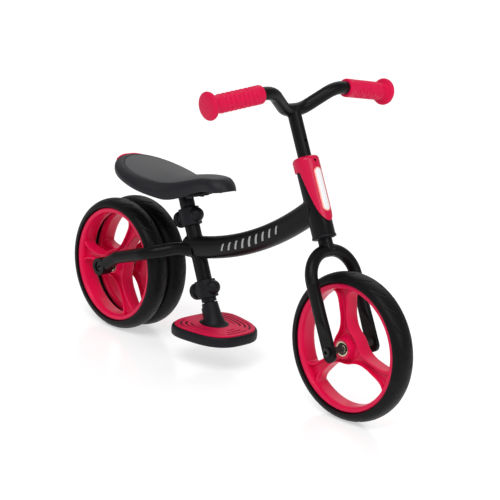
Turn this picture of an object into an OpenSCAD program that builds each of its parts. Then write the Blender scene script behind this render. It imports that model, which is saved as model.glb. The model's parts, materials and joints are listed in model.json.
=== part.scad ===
// Child's balance bike: one steered front wheel, two close-set rear wheels, a seat and
// a handlebar that slide to height, and a footrest on a post of its own.
// X points forward, Y to the rider's left and Z up. The origin is on the floor, midway
// between the axles. Lengths are in millimetres.

/* [Layout] */
// Distance between the front and rear axles
wheelbase = 502; // [494:2:520]
// Lean of the steering axis from vertical, in degrees
head_tilt = 25.7; // [25:0.1:27]
// Lean of the seat tube from vertical, in degrees
seat_tilt = 24.7; // [23:0.1:26]
// Distance of the seat tube's crossing with the main tube behind the origin
seat_tube_back = 86; // [82:1:90]

/* [Wheels] */
// Outside radius of the tyres
tyre_r = 108; // [106:1:110]
// Width of a tyre
tyre_w = 36; // [34:1:38]
// Outside radius of the rim's lips
rim_r = 93; // [91:1:94]
// Width of the rim over its lips
rim_w = 30; // [28:1:31]
// Distance between the middle planes of the two rear wheels
rear_spacing = 40; // [39:1:44]
// Radius of the axles
axle_r = 4; // [4:0.5:5]

/* [Frame] */
// Outside radius of the main tube
main_r = 17.5; // [17:0.5:18]
// Outside radius of the head tube
head_r = 17; // [17:0.5:18]
// Radius of the main tube's bend
main_bend_r = 518; // [505:1:530]
// Outside radius of the seat tube
seat_tube_r = 12; // [11.5:0.5:12.5]
// Outside radius of the chainstays
stay_r = 10; // [9:0.5:10.5]
// Half the width of the frame over the rear bosses
boss_face = 65; // [63:1:68]

/* [Fork and handlebar] */
// Radius of the fork's bent tube
fork_r = 9.25; // [9:0.25:10]
// Distance from the wheel's middle plane to a fork leg's centre
fork_half = 44.75; // [44.5:0.25:46]
// Height of the fork arch's centre line above the axle, along the steering axis
arch_s = 140; // [138:1:142]
// Radius of the handlebar's stem
stem_r = 10; // [9.5:0.25:10.5]
// Radius of the handlebar's tube
bar_r = 9.5; // [9:0.5:10]
// Height of the handlebar's middle above the front axle, along the steering axis
bar_s = 348; // [346:1:352]
// Half the width of the handlebar tube
bar_half = 174; // [170:1:180]

/* [Seat] */
// Radius of the seat post and the footrest post
post_r = 8.45; // [8.25:0.05:8.45]
// Greatest half width of the seat
seat_half = 65; // [62:1:68]
// Position of the seat's tail along X
seat_tail = -268; // [-272:1:-264]
// Position of the seat's nose along X
seat_nose = -17; // [-19:1:-15]

/* [Footrest] */
// Half the length of the footrest plate
foot_half = 60; // [56:1:62]
// Height of the footrest's underside above the floor
foot_z = 44; // [42:1:46]

/* [Hidden] */
$fn = 64;

paint_black = "#1b1b1d";
trim_red = "#e8174b";
clamp_grey = "#33333b";
tyre_black = "#18181a";
steel = "#b8babd";
brass = "#c9a461";

eps = 0.01;
front_x = wheelbase / 2;
rear_x = -wheelbase / 2;

// Steering parts, measured along the steering axis from the front axle
neck_s = 158;
neck_r = 10.5;
head_s0 = 162;
head_s1 = 262;
steerer_r = 12.7;
steerer_bore = stem_r + 0.06;
steerer_floor = 164;
steerer_top = 273.5;
collar_r = 15.5;
bush_r = 15;
cover_in = head_r + 0.1;
cover_out = head_r + 2.4;
cover_top = 277.5;
cover_skirt = 256;
cover_tip = 180;
height_hole_r = 2.4;
height_step = 31;
screw_s = 269;

// Main tube: starts at this slope behind the seat tube and ends at the head tube
main_slope0 = 8;
main_sweep = 36;
main_x0 = -104;
main_z0 = 170.3;
seat_cross_z = 171;
main_wall = 2;

// Seat tube parts, measured along the seat tube from its crossing with the main tube
tube_top = 66;
tube_bottom = -78;
shim_r = 10.5;
seat_clamp_q = 50.5;
foot_clamp_q = -65.5;
clamp_r = 16.5;
clamp_h = 28;
ball_r = 11.5;
ball_d = 16;
knob_r = 13.5;
knob_d = 18.5;
knob_t = 9;
stud_r = 3;

// Wheel parts, measured from a wheel's middle plane
rim_seat_r = rim_r - 3.5;
rim_wall_r = rim_r - 9;
bearing_r = 11;
bearing_w = 7;
hub_r = 15;
web_t = 9;
window_wall = 2.2;
front_spin = 42;
rear_spin = 119;
rear_hub = 17;
front_hub = 19;
spacer_r = 7;
side_gap = 0.3;
dropout_y0 = 41.5;
dropout_y1 = 47.5;

// Handlebar corners in the steering frame: along u (forward), y (left) and s (up)
bar_bend = [32, 64, bar_s + 21];
bar_end = [20, bar_half, bar_s + 11];
bar_flat = 16;
grip_len = 90;
grip_r = 13.6;
flange_r = 20;

// Footrest
foot_x = -28;
foot_t = 16;
tread_z = foot_z + foot_t + 2;
socket_top = -87;
post_q = -127;
screw_q = -132.5;

// ---- Placing and basic shapes ----

module at_head(s = 0) {
    translate([front_x, 0, tyre_r])
        rotate([0, -head_tilt, 0])
            translate([0, 0, s])
                children();
}

module at_seat(q = 0) {
    translate([-seat_tube_back, 0, seat_cross_z])
        rotate([0, -seat_tilt, 0])
            translate([0, 0, q])
                children();
}

module mirror_y() {
    mirror([0, 1, 0])
        children();
}

// Cylinder along Y from y0 to y1
module y_rod(r, y0, y1) {
    translate([0, y0, 0])
        rotate([-90, 0, 0])
            cylinder(r = r, h = y1 - y0);
}

// Cylinder along X from x0 to x1
module x_rod(r, x0, x1) {
    translate([x0, 0, 0])
        rotate([0, 90, 0])
            cylinder(r = r, h = x1 - x0);
}

module pipe(r_out, r_in, z0, z1) {
    difference() {
        translate([0, 0, z0])
            cylinder(r = r_out, h = z1 - z0);
        translate([0, 0, z0 - 1])
            cylinder(r = r_in, h = z1 - z0 + 2);
    }
}

module y_pipe(r_out, r_in, y0, y1) {
    difference() {
        y_rod(r_out, y0, y1);
        y_rod(r_in, y0 - 1, y1 + 1);
    }
}

// A straight rod between two points
module rod(a, b, r) {
    d = b - a;
    translate(a)
        rotate([0, acos(d[2] / norm(d)), atan2(d[1], d[0])])
            cylinder(r = r, h = norm(d));
}

function unit(v) = v / norm(v);
function turn_at(p, i) = acos(unit(p[i] - p[i - 1]) * unit(p[i + 1] - p[i]));
function setback(p, i, bend) =
    (i == 0 || i == len(p) - 1) ? 0 : bend[i] * tan(turn_at(p, i) / 2);

// A hair-thin sleeve over the joint of a straight and a bend, which keeps them one solid
module joint_sleeve(at, d, r) {
    rod(at - 0.6 * d, at + 0.6 * d, r + 0.06);
}

// A round tube through the corners p, with a bend of the given radius at each corner
module bent_rod(p, bend, r) {
    for (i = [0 : len(p) - 2]) {
        d = unit(p[i + 1] - p[i]);
        rod(p[i] + d * setback(p, i, bend), p[i + 1] - d * setback(p, i + 1, bend), r);
    }
    for (i = [1 : len(p) - 2]) {
        d1 = unit(p[i] - p[i - 1]);
        d2 = unit(p[i + 1] - p[i]);
        centre = p[i] + unit(d2 - d1) * bend[i] / cos(turn_at(p, i) / 2);
        e1 = unit(p[i] - d1 * setback(p, i, bend) - centre);
        e3 = cross(e1, d1);
        joint_sleeve(p[i] - d1 * setback(p, i, bend), d1, r);
        joint_sleeve(p[i] + d2 * setback(p, i, bend), d2, r);
        multmatrix([[e1[0], d1[0], e3[0], centre[0]],
                    [e1[1], d1[1], e3[1], centre[1]],
                    [e1[2], d1[2], e3[2], centre[2]]])
            rotate_extrude(angle = turn_at(p, i))
                translate([bend[i], 0])
                    circle(r = r);
    }
}

// ---- Frame ----

// The main tube's arc with a given radius, started late by skip degrees
module main_sweep_of(r, skip) {
    cx = main_x0 - main_bend_r * sin(main_slope0);
    cz = main_z0 + main_bend_r * cos(main_slope0);
    translate([cx, 0, cz])
        rotate([90, 0, 0])
            rotate([0, 0, -90 + main_slope0 + skip])
                rotate_extrude(angle = main_sweep - skip + 1)
                    translate([main_bend_r, 0])
                        circle(r = r);
}

module head_tube() {
    color(paint_black)
        at_head()
            pipe(head_r, bush_r, head_s0, head_s1);
}

module main_tube() {
    color(paint_black)
        difference() {
            main_sweep_of(main_r, 0);
            main_sweep_of(main_r - main_wall, 0.3);
            at_head(head_s0 - 20)
                cylinder(r = head_r, h = 200);
            at_head(head_s0 - 20)
                translate([0, -40, 0])
                    cube([120, 80, 200]);
            at_seat(-60)
                cylinder(r = seat_tube_r, h = 120);
        }
}

module seat_tube() {
    color(paint_black)
        difference() {
            at_seat()
                pipe(seat_tube_r, shim_r, tube_bottom, tube_top);
            for (q = [seat_clamp_q, foot_clamp_q])
                at_seat(q)
                    x_rod(stud_r + 0.2, -20, 0);
        }
}

stay_path = [[-82, -10, 170], [-112, -22, 167], [-144, -54, 155],
             [rear_x + 36, -56, 131], [rear_x, -56, tyre_r]];
stay_bend = [0, 40, 40, 40, 0];

module chainstay() {
    difference() {
        union() {
            bent_rod(stay_path, stay_bend, stay_r);
            translate([rear_x, 0, tyre_r])
                y_rod(14, -boss_face, -45);
        }
        main_sweep_of(main_r, 0);
        at_seat(-60)
            cylinder(r = seat_tube_r, h = 120);
        translate([rear_x, 0, tyre_r])
            y_rod(axle_r, -boss_face - 1, -40);
        translate([rear_x, 0, tyre_r])
            y_rod(8, -boss_face - 1, -57);
    }
}

module chainstay_right() {
    color(paint_black)
        chainstay();
}

module chainstay_left() {
    mirror_y()
        chainstay_right();
}

module bush(flange, thick) {
    pipe(bush_r, steerer_r + 0.05, 0, 12);
    pipe(flange, steerer_r + 0.05, -thick, 0);
}

module upper_bush() {
    color(clamp_grey)
        at_head(head_s1)
            mirror([0, 0, 1])
                bush(head_r - 0.5, 2);
}

module lower_bush() {
    color(clamp_grey)
        at_head(head_s0)
            bush(head_r + 0.8, 3);
}

// Thin flared washer that turns with the fork under the lower bush
module crown_washer() {
    color(clamp_grey)
        at_head()
            difference() {
                translate([0, 0, head_s0 - 5.2])
                    cylinder(r1 = head_r - 3, r2 = head_r + 1.8, h = 1.8);
                translate([0, 0, head_s0 - 10])
                    cylinder(r = steerer_r, h = 10);
            }
}

// The tongue's half angle round the head tube: it narrows slowly, then rounds off
function tongue_angle(t) = (86 - 46 * t) * sqrt(1 - pow(t, 7));

// Side outline of the head cover: a collar at the top, and a tongue down the front
module cover_outline() {
    edge = [for (i = [0 : 20])
        let (t = 1 - pow(1 - i / 20, 1.6))
        [cover_out * cos(tongue_angle(t)), cover_skirt - (cover_skirt - cover_tip) * t]];
    polygon(concat([[-40, cover_skirt + 1], [-8, cover_skirt + 0.7]], edge,
                   [[40, cover_tip], [40, cover_top + 5], [-40, cover_top + 5]]));
}

module head_cover() {
    round_r = 6;
    wall_top = 2.4;
    corner = 1.5;
    color(trim_red)
        at_head()
            difference() {
                intersection() {
                    rotate_extrude()
                        polygon(concat([[0, cover_tip - 2], [cover_out, cover_tip - 2]],
                            [for (a = [0 : 10 : 90])
                                [cover_out - round_r * (1 - cos(a)),
                                 cover_top - round_r * (1 - sin(a))]],
                            [[0, cover_top]]));
                    rotate([90, 0, 0])
                        translate([0, 0, -40])
                            linear_extrude(80)
                                cover_outline();
                }
                translate([0, 0, cover_tip - 5])
                    cylinder(r = cover_in, h = cover_top - wall_top - cover_tip + 5 - corner);
                translate([0, 0, cover_top - wall_top - corner - eps])
                    cylinder(r1 = cover_in, r2 = cover_in - corner, h = corner);
                translate([0, 0, cover_top - 20])
                    cylinder(r = stem_r + 0.8, h = 30);
                translate([0, 0, screw_s])
                    x_rod(2.2, 5, 40);
                badge_shape(cover_out - 0.8);
            }
}

// The rounded strip on the front of the cover
module badge_shape(r_in) {
    badge_w = 15;
    s0 = 194;
    s1 = 259;
    intersection() {
        pipe(cover_out + 0.7, r_in, s0 - 10, s1 + 10);
        union() {
            translate([5, -badge_w / 2, s0 + badge_w / 2])
                cube([30, badge_w, s1 - s0 - badge_w]);
            for (s = [s0 + badge_w / 2, s1 - badge_w / 2])
                translate([0, 0, s])
                    x_rod(badge_w / 2, 5, 35);
        }
    }
}

module badge_plate() {
    color("white")
        at_head()
            badge_shape(cover_out - 0.8);
}

// ---- Clamps, shims and knobs on the seat tube ----

module clamp_body() {
    slot = 1.6;
    difference() {
        union() {
            translate([0, 0, -clamp_h / 2])
                cylinder(r = clamp_r, h = clamp_h);
            x_rod(ball_r, -knob_d + 0.4, ball_d);
            translate([ball_d, 0, 0])
                sphere(r = ball_r);
        }
        translate([0, 0, -clamp_h])
            cylinder(r = seat_tube_r, h = 2 * clamp_h);
        x_rod(stud_r + 0.05, -40, 0);
        translate([-40, -slot / 2, 6])
            cube([40, slot, clamp_h]);
    }
}

module seat_clamp() {
    color(clamp_grey)
        at_seat(seat_clamp_q)
            clamp_body();
}

module foot_clamp() {
    color(clamp_grey)
        at_seat(foot_clamp_q)
            mirror([0, 0, 1])
                clamp_body();
}

// Plastic sleeve between a post and the tube, with a notched collar outside the tube
module shim(flange_h) {
    difference() {
        union() {
            pipe(shim_r, post_r + 0.05, -38, eps);
            pipe(seat_tube_r - 0.1, post_r + 0.05, 0, flange_h);
        }
        for (a = [0, 90, 180, 270])
            rotate([0, 0, a + 45])
                translate([post_r + 1.6, -2.5, flange_h - 5])
                    cube([5, 5, 10]);
    }
}

module seat_shim() {
    color(clamp_grey)
        at_seat(tube_top)
            shim(14);
}

module foot_shim() {
    color(clamp_grey)
        at_seat(tube_bottom)
            mirror([0, 0, 1])
                shim(8);
}

// Ribbed hand knob with a stud whose tip presses on the shim
module knob() {
    ribs = 16;
    difference() {
        union() {
            x_rod(knob_r, -knob_d - knob_t, -knob_d);
            x_rod(knob_r - 3, -knob_d - knob_t - 2, -knob_d);
        }
        for (i = [0 : ribs - 1])
            rotate([i * 360 / ribs, 0, 0])
                translate([0, knob_r + 0.6, 0])
                    x_rod(1.7, -knob_d - knob_t - 1, -knob_d - 2);
    }
    x_rod(stud_r, -knob_d - eps, -shim_r - 0.3);
}

module seat_knob() {
    color(clamp_grey)
        at_seat(seat_clamp_q)
            knob();
}

module foot_knob() {
    color(clamp_grey)
        at_seat(foot_clamp_q)
            knob();
}

// ---- Rear axle ----

module at_rear() {
    translate([rear_x, 0, tyre_r])
        children();
}

module at_front() {
    translate([front_x, 0, tyre_r])
        children();
}

// Axle with a threaded hole in each end
module axle(half) {
    difference() {
        y_rod(axle_r, -half, half);
        for (side = [0, 1])
            mirror([0, side, 0])
                y_rod(2.5, half - 14, half + 1);
    }
}

// Socket-head bolt that screws into the end of an axle
module axle_bolt(half, head_r, head_h) {
    difference() {
        union() {
            y_rod(2.5, half - 12, half + eps);
            y_rod(head_r, half, half + head_h);
        }
        translate([0, half + head_h - 3, 0])
            rotate([-90, 0, 0])
                cylinder(r = 2.9, h = 10, $fn = 6);
    }
}

module rear_axle() {
    color(steel)
        at_rear()
            axle(57);
}

module rear_bolts() {
    color(steel)
        at_rear()
            for (side = [0, 1])
                mirror([0, side, 0])
                    axle_bolt(57, 7, 5.5);
}

module rear_spacers() {
    inner = rear_spacing / 2 - rear_hub - side_gap;
    color(clamp_grey)
        at_rear() {
            y_pipe(spacer_r, axle_r, -inner, inner);
            for (side = [0, 1])
                mirror([0, side, 0])
                    y_pipe(spacer_r, axle_r, rear_spacing / 2 + rear_hub + side_gap, 45);
        }
}

// ---- Wheels ----

// Outline of one of the three windows between the spokes, in polar form, grown by a wall
function window_point(t, wall) =
    let (c = cos(t), s = sin(t),
         radius = 60 + (36 + wall) * sign(c) * pow(abs(c), 0.6),
         angle = (52.5 + wall) * sign(s) * pow(abs(s), 0.6))
    [radius * cos(angle), radius * sin(angle)];

module wheel_windows(spin, wall, depth) {
    for (i = [0 : 2])
        rotate([0, 0, spin + 120 * i])
            translate([0, 0, -depth / 2])
                linear_extrude(depth)
                    polygon([for (t = [0 : 10 : 350]) window_point(t, wall)]);
}

// Moulded wheel about the Y axis: a barrel with two lips, a hub, and three windows that
// reach the barrel. The windows' raised walls and the thinner web between them make the
// spokes. spin is the direction of the first window
module rim(hub_half, spin) {
    lip = rim_w / 2;
    rotate([90, 0, 0])
        difference() {
            union() {
                rotate_extrude($fn = 96)
                    polygon([[rim_wall_r, -lip + 3], [rim_r - 7, -lip], [rim_r - 1, -lip],
                             [rim_r, -lip + 1], [rim_r, -lip + 2.5], [rim_seat_r, -lip + 3.5],
                             [rim_seat_r, lip - 3.5], [rim_r, lip - 2.5], [rim_r, lip - 1],
                             [rim_r - 1, lip], [rim_r - 7, lip], [rim_wall_r, lip - 3]]);
                difference() {
                    union() {
                        translate([0, 0, -web_t / 2])
                            cylinder(r = rim_wall_r + 1, h = web_t, $fn = 96);
                        intersection() {
                            wheel_windows(spin, window_wall, 2 * lip - 7);
                            translate([0, 0, -lip])
                                cylinder(r = rim_wall_r + 1, h = 2 * lip, $fn = 96);
                        }
                    }
                    wheel_windows(spin, 0, 60);
                }
                translate([0, 0, -hub_half])
                    cylinder(r = hub_r, h = 2 * hub_half);
            }
            translate([0, 0, -50])
                cylinder(r = axle_r + 2.5, h = 100);
            for (side = [0, 1])
                mirror([0, 0, side])
                    translate([0, 0, hub_half - bearing_w])
                        cylinder(r = bearing_r, h = 20);
        }
}

function tyre_point(t) =
    [rim_r + 1 + (tyre_r - rim_r - 1) * pow(max(cos(t), 0), 0.75), tyre_w / 2 * sin(t)];

module tyre() {
    seat_half_w = rim_w / 2 - 3.5;
    rotate([90, 0, 0])
        rotate_extrude($fn = 96)
            polygon(concat(
                [[rim_seat_r, seat_half_w], [rim_seat_r, -seat_half_w],
                 [rim_r + 0.2, -seat_half_w - 1], [rim_r + 0.2, -rim_w / 2]],
                [for (t = [-90 : 7.5 : 90]) tyre_point(t)],
                [[rim_r + 0.2, rim_w / 2], [rim_r + 0.2, seat_half_w + 1]]));
}

module bearings(hub_half) {
    for (side = [0, 1])
        mirror([0, side, 0])
            y_pipe(bearing_r, axle_r + 0.05, hub_half - bearing_w, hub_half);
}

module front_rim() {
    color(trim_red)
        at_front()
            rim(front_hub, front_spin);
}

module front_tyre() {
    color(tyre_black)
        at_front()
            tyre();
}

module front_bearings() {
    color(brass)
        at_front()
            bearings(front_hub);
}

module at_rear_wheel(side) {
    translate([rear_x, side * rear_spacing / 2, tyre_r])
        children();
}

module rear_right_rim() {
    color(trim_red)
        at_rear_wheel(-1)
            rim(rear_hub, rear_spin);
}

module rear_right_tyre() {
    color(tyre_black)
        at_rear_wheel(-1)
            tyre();
}

module rear_right_bearings() {
    color(brass)
        at_rear_wheel(-1)
            bearings(rear_hub);
}

module rear_left_rim() {
    color(trim_red)
        at_rear_wheel(1)
            rim(rear_hub, rear_spin);
}

module rear_left_tyre() {
    color(tyre_black)
        at_rear_wheel(1)
            tyre();
}

module rear_left_bearings() {
    color(brass)
        at_rear_wheel(1)
            bearings(rear_hub);
}

// ---- Fork ----

module fork_solid(r) {
    bent_rod([[0, -fork_half, 48], [0, -fork_half, arch_s], [0, fork_half, arch_s],
              [0, fork_half, 48]], [0, fork_half - 3, fork_half - 3, 0], r);
}

module steerer_tube() {
    color(paint_black)
        at_head()
            difference() {
                union() {
                    translate([0, 0, arch_s])
                        cylinder(r = neck_r, h = neck_s - arch_s);
                    translate([0, 0, neck_s - 1])
                        cylinder(r = steerer_r, h = steerer_top - neck_s + 1);
                }
                fork_solid(fork_r);
                translate([0, 0, steerer_floor])
                    cylinder(r = steerer_bore, h = 200);
                translate([0, 0, screw_s])
                    x_rod(height_hole_r, 0, 30);
            }
}

// One bent tube makes both legs. Each end is pressed flat into a dropout
module fork_arch() {
    plate = dropout_y1 - dropout_y0;
    color(paint_black)
        at_head()
            difference() {
                union() {
                    fork_solid(fork_r);
                    for (side = [0, 1])
                        mirror([0, side, 0]) {
                            translate([0, 0, -5])
                                y_rod(10.4, dropout_y0, dropout_y1);
                            translate([-10.4, dropout_y0, -5])
                                cube([20.8, plate, 34]);
                            hull($fn = 32) {
                                translate([-10.4, dropout_y0, 24])
                                    cube([20.8, plate, 1]);
                                translate([0, fork_half, 48])
                                    cylinder(r = fork_r, h = 1, $fn = 32);
                            }
                        }
                }
                y_rod(axle_r, -60, 60);
            }
}

module lock_collar() {
    color(clamp_grey)
        at_head()
            difference() {
                pipe(collar_r, steerer_r, head_s1 + 2.3, steerer_top);
                translate([0, 0, screw_s])
                    x_rod(height_hole_r, 0, 30);
            }
}

module height_screw() {
    color(steel)
        at_head(screw_s)
            difference() {
                x_rod(height_hole_r, steerer_bore + 0.2, collar_r + 0.5);
                translate([collar_r - 2, 0, 0])
                    rotate([0, 90, 0])
                        cylinder(r = 1.4, h = 5, $fn = 6);
            }
}

module front_axle() {
    color(steel)
        at_front()
            axle(dropout_y1 - 0.5);
}

module front_bolts() {
    color(steel)
        at_front()
            for (side = [0, 1])
                mirror([0, side, 0])
                    axle_bolt(dropout_y1, 6.5, 4);
}

module front_spacers() {
    color(clamp_grey)
        at_front()
            for (side = [0, 1])
                mirror([0, side, 0])
                    y_pipe(spacer_r, axle_r, front_hub + side_gap, dropout_y0);
}

// ---- Handlebar ----

bar_path = [[bar_end[0], -bar_end[1], bar_end[2]], [bar_bend[0], -bar_bend[1], bar_bend[2]],
            [0, -bar_flat, bar_s], [0, bar_flat, bar_s],
            bar_bend, bar_end];
bar_bends = [0, 40, 34, 34, 40, 0];

module handlebar_stem() {
    color(paint_black)
        at_head()
            difference() {
                translate([0, 0, 200])
                    cylinder(r = stem_r, h = bar_s - 200);
                translate([0, 0, 199])
                    cylinder(r = stem_r - 1.8, h = bar_s - 199);
                bent_rod(bar_path, bar_bends, bar_r);
                for (i = [-1 : 1])
                    translate([0, 0, screw_s + i * height_step])
                        x_rod(height_hole_r, 0, 30);
            }
}

module handlebar_bar() {
    color(paint_black)
        at_head()
            bent_rod(bar_path, bar_bends, bar_r);
}

// Puts local Z along the left end of the bar, with the origin at its tip
module at_bar_tip() {
    d = bar_end - bar_bend;
    at_head()
        translate(bar_end)
            rotate([0, acos(d[2] / norm(d)), atan2(d[1], d[0])])
                children();
}

// Ribbed sleeve with a mushroom flange that closes the end of the bar
module grip() {
    ribs = 8;
    pitch = 7.8;
    at_bar_tip()
        difference() {
            union() {
                translate([0, 0, -grip_len])
                    cylinder(r = grip_r - 1, h = grip_len + 2);
                translate([0, 0, -grip_len])
                    cylinder(r = grip_r, h = 12);
                for (i = [0 : ribs - 1])
                    translate([0, 0, -grip_len + 18 + i * pitch])
                        cylinder(r = grip_r, h = 4);
                rotate_extrude()
                    polygon(concat([[0, -4], [grip_r - 1, -4]],
                        [for (a = [-60 : 15 : 90])
                            [flange_r - 4 + 4 * cos(a), 1 + 4 * sin(a)]],
                        [for (i = [0 : 4])
                            [(flange_r - 4) * (1 - i / 4), 5 + 2 * (1 - pow(1 - i / 4, 2))]]));
            }
            translate([0, 0, -grip_len - 1])
                cylinder(r = bar_r, h = grip_len + 1);
        }
}

module grip_left() {
    color(trim_red)
        grip();
}

module grip_right() {
    color(trim_red)
        mirror_y()
            grip();
}

// ---- Seat ----

seat_wide_x = -180;
seat_low_x = -150;
seat_low_z = 266;
nose_x = -56;
nose_half = 26;

// Height of the seat's top along its middle
function seat_top(x) =
    x < seat_low_x
        ? seat_low_z + 19 * pow((seat_low_x - x) / 118, 1.3)
        : seat_low_z + 31 * pow((x - seat_low_x) / 125, 1.7)
              - 16 * pow(max(0, (x + 46) / 29), 2);

// Height of the seat's lower edge
function seat_base(x) =
    x < -130
        ? 249 + 19 * pow((-130 - x) / 130, 1.8)
        : 249 + 25 * pow((x + 130) / 110, 1.2) + 6 * pow(max(0, (x + 62) / 45), 1.6);

// Half width of the seat, less an inset
function seat_width(x, inset) =
    x < seat_wide_x
        ? (seat_half - inset) * sqrt(max(0, 1 - pow((seat_wide_x - x)
              / (seat_wide_x - seat_tail - inset), 2.2)))
    : x < nose_x
        ? nose_half - inset + (seat_half - nose_half)
              * (1 + cos(180 * (x - seat_wide_x) / (nose_x - seat_wide_x))) / 2
        : (nose_half - inset) * sqrt(max(0, 1 - pow((x - nose_x)
              / (seat_nose - nose_x - inset), 2.6)));

// Plan of the seat with its edge moved in by inset
module seat_plan(inset) {
    steps = 40;
    x0 = seat_tail + inset;
    x1 = seat_nose - inset;
    xs = [for (i = [0 : steps]) (x0 + x1) / 2 - (x1 - x0) / 2 * cos(180 * i / steps)];
    polygon(concat([for (x = xs) [x, seat_width(x, inset)]],
                   [for (i = [steps - 1 : -1 : 1]) [xs[i], -seat_width(xs[i], inset)]]));
}

// Side view of the seat between drop0 and drop1 below its top, or down to its lower edge
module seat_side(drop0, drop1, to_base) {
    steps = 27;
    xs = [for (i = [0 : steps]) seat_tail - 4 + (seat_nose - seat_tail + 8) * i / steps];
    rotate([90, 0, 0])
        translate([0, 0, -100])
            linear_extrude(200)
                polygon(concat([for (x = xs) [x, seat_top(x) - drop0]],
                    [for (i = [steps : -1 : 0])
                        [xs[i], to_base ? seat_base(xs[i]) : seat_top(xs[i]) - drop1]]));
}

module seat_slab(inset, drop0, drop1, to_base) {
    intersection() {
        translate([0, 0, 200])
            linear_extrude(140)
                seat_plan(inset);
        seat_side(drop0, drop1, to_base);
    }
}

pad_inset = 15;
pad_drop = 4;
bracket_x = -122;
bracket_z = 253;
bracket_t = 4;
post_top = 88;

module trim_shape() {
    intersection() {
        difference() {
            seat_slab(0, 2, 9, false);
            translate([0, 0, 200])
                linear_extrude(140)
                    seat_plan(2.5);
        }
        translate([seat_tail - 5, -60, 200])
            cube([50, 120, 140]);
    }
}

module seat_shell() {
    color(clamp_grey)
        difference() {
            seat_slab(0, 0, 0, true);
            difference() {
                seat_slab(4, pad_drop + 4, 60, false);
                translate([bracket_x - 38, -26, bracket_z + bracket_t])
                    cube([76, 52, 30]);
            }
            seat_slab(pad_inset, -5, pad_drop, false);
            trim_shape();
            seat_screw_set(2.2);
        }
}

module seat_pad() {
    color("#58595b")
        seat_slab(pad_inset, 0, pad_drop, false);
}

module tail_trim() {
    color(trim_red)
        trim_shape();
}

module seat_post() {
    color(paint_black)
        at_seat()
            pipe(post_r, post_r - 1.8, -22, post_top);
}

module seat_bracket() {
    color(paint_black)
        difference() {
            union() {
                translate([bracket_x - 33, -20, bracket_z])
                    cube([66, 40, bracket_t]);
                intersection() {
                    at_seat(post_top - 8)
                        cylinder(r = 12, h = 40);
                    translate([bracket_x - 40, -40, 200])
                        cube([80, 80, bracket_z - 200 + eps]);
                }
            }
            at_seat(60)
                cylinder(r = post_r, h = post_top - 60);
            seat_screw_set(2.2);
        }
}

module seat_screw_set(r) {
    for (x = [-24, 24], y = [-13, 13])
        translate([bracket_x + x, y, bracket_z - 3])
            cylinder(r = r, h = 11);
}

module seat_screws() {
    color(steel) {
        seat_screw_set(2.2);
        for (x = [-24, 24], y = [-13, 13])
            translate([bracket_x + x, y, bracket_z - 3])
                cylinder(r = 4, h = 3);
    }
}

// ---- Footrest ----

// Shield-shaped outline: a rounded square that narrows towards the front
function foot_point(t, half) =
    let (c = sign(cos(t)) * pow(abs(cos(t)), 0.68), s = sign(sin(t)) * pow(abs(sin(t)), 0.68))
    [half * c, half * s * (1 - 0.16 * c)];

module foot_plan(half) {
    translate([foot_x, 0])
        polygon([for (t = [0 : 5 : 355]) foot_point(t, half)]);
}

module foot_base() {
    color(clamp_grey)
        difference() {
            translate([0, 0, foot_z])
                linear_extrude(foot_t)
                    foot_plan(foot_half);
            translate([0, 0, foot_z + foot_t - 2])
                linear_extrude(5)
                    foot_plan(foot_half - 4);
            at_seat(post_q)
                cylinder(r = post_r, h = 200);
            at_seat(-160)
                cylinder(r = 4, h = 60);
            at_seat(-160)
                cylinder(r = 7, h = 160 + screw_q);
        }
}

module foot_tread() {
    color(trim_red)
        difference() {
            translate([0, 0, foot_z + foot_t - 2])
                linear_extrude(4)
                    foot_plan(foot_half - 4);
            at_seat(-200)
                cylinder(r = 16, h = 200);
        }
}

module foot_socket() {
    color(clamp_grey)
        difference() {
            intersection() {
                union() {
                    at_seat(socket_top - 42)
                        cylinder(r1 = 16, r2 = 12.5, h = 42);
                    at_seat(socket_top - 22)
                        translate([-19, -5, 0])
                            cube([14, 10, 16]);
                }
                translate([-100, -50, foot_z + foot_t - 2])
                    cube([120, 100, 100]);
            }
            at_seat(socket_top - 60)
                cylinder(r = post_r, h = 100);
        }
}

module foot_post() {
    color(paint_black)
        at_seat()
            pipe(post_r, 4, post_q, -24);
}

module foot_screw() {
    color(steel)
        at_seat() {
            translate([0, 0, screw_q - 1])
                cylinder(r = 4, h = 30);
            difference() {
                translate([0, 0, screw_q - 3.5])
                    cylinder(r = 6.5, h = 3.5);
                translate([0, 0, screw_q - 5])
                    cylinder(r = 2.9, h = 3.5, $fn = 6);
            }
        }
}

head_tube();
main_tube();
seat_tube();
chainstay_right();
chainstay_left();
upper_bush();
lower_bush();
crown_washer();
head_cover();
badge_plate();
seat_clamp();
foot_clamp();
seat_shim();
foot_shim();
rear_axle();
rear_bolts();
rear_spacers();
steerer_tube();
fork_arch();
lock_collar();
height_screw();
front_axle();
front_bolts();
front_spacers();
front_rim();
front_tyre();
front_bearings();
rear_right_rim();
rear_right_tyre();
rear_right_bearings();
rear_left_rim();
rear_left_tyre();
rear_left_bearings();
handlebar_stem();
handlebar_bar();
grip_right();
grip_left();
seat_post();
seat_bracket();
seat_shell();
seat_pad();
tail_trim();
seat_screws();
foot_post();
foot_socket();
foot_base();
foot_tread();
foot_screw();
seat_knob();
foot_knob();
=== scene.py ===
"""Looks of the balance bike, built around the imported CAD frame."""
import json
import math

import bmesh
import bpy
import numpy as np
from mathutils import Matrix, Vector
from mathutils.geometry import delaunay_2d_cdt


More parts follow.
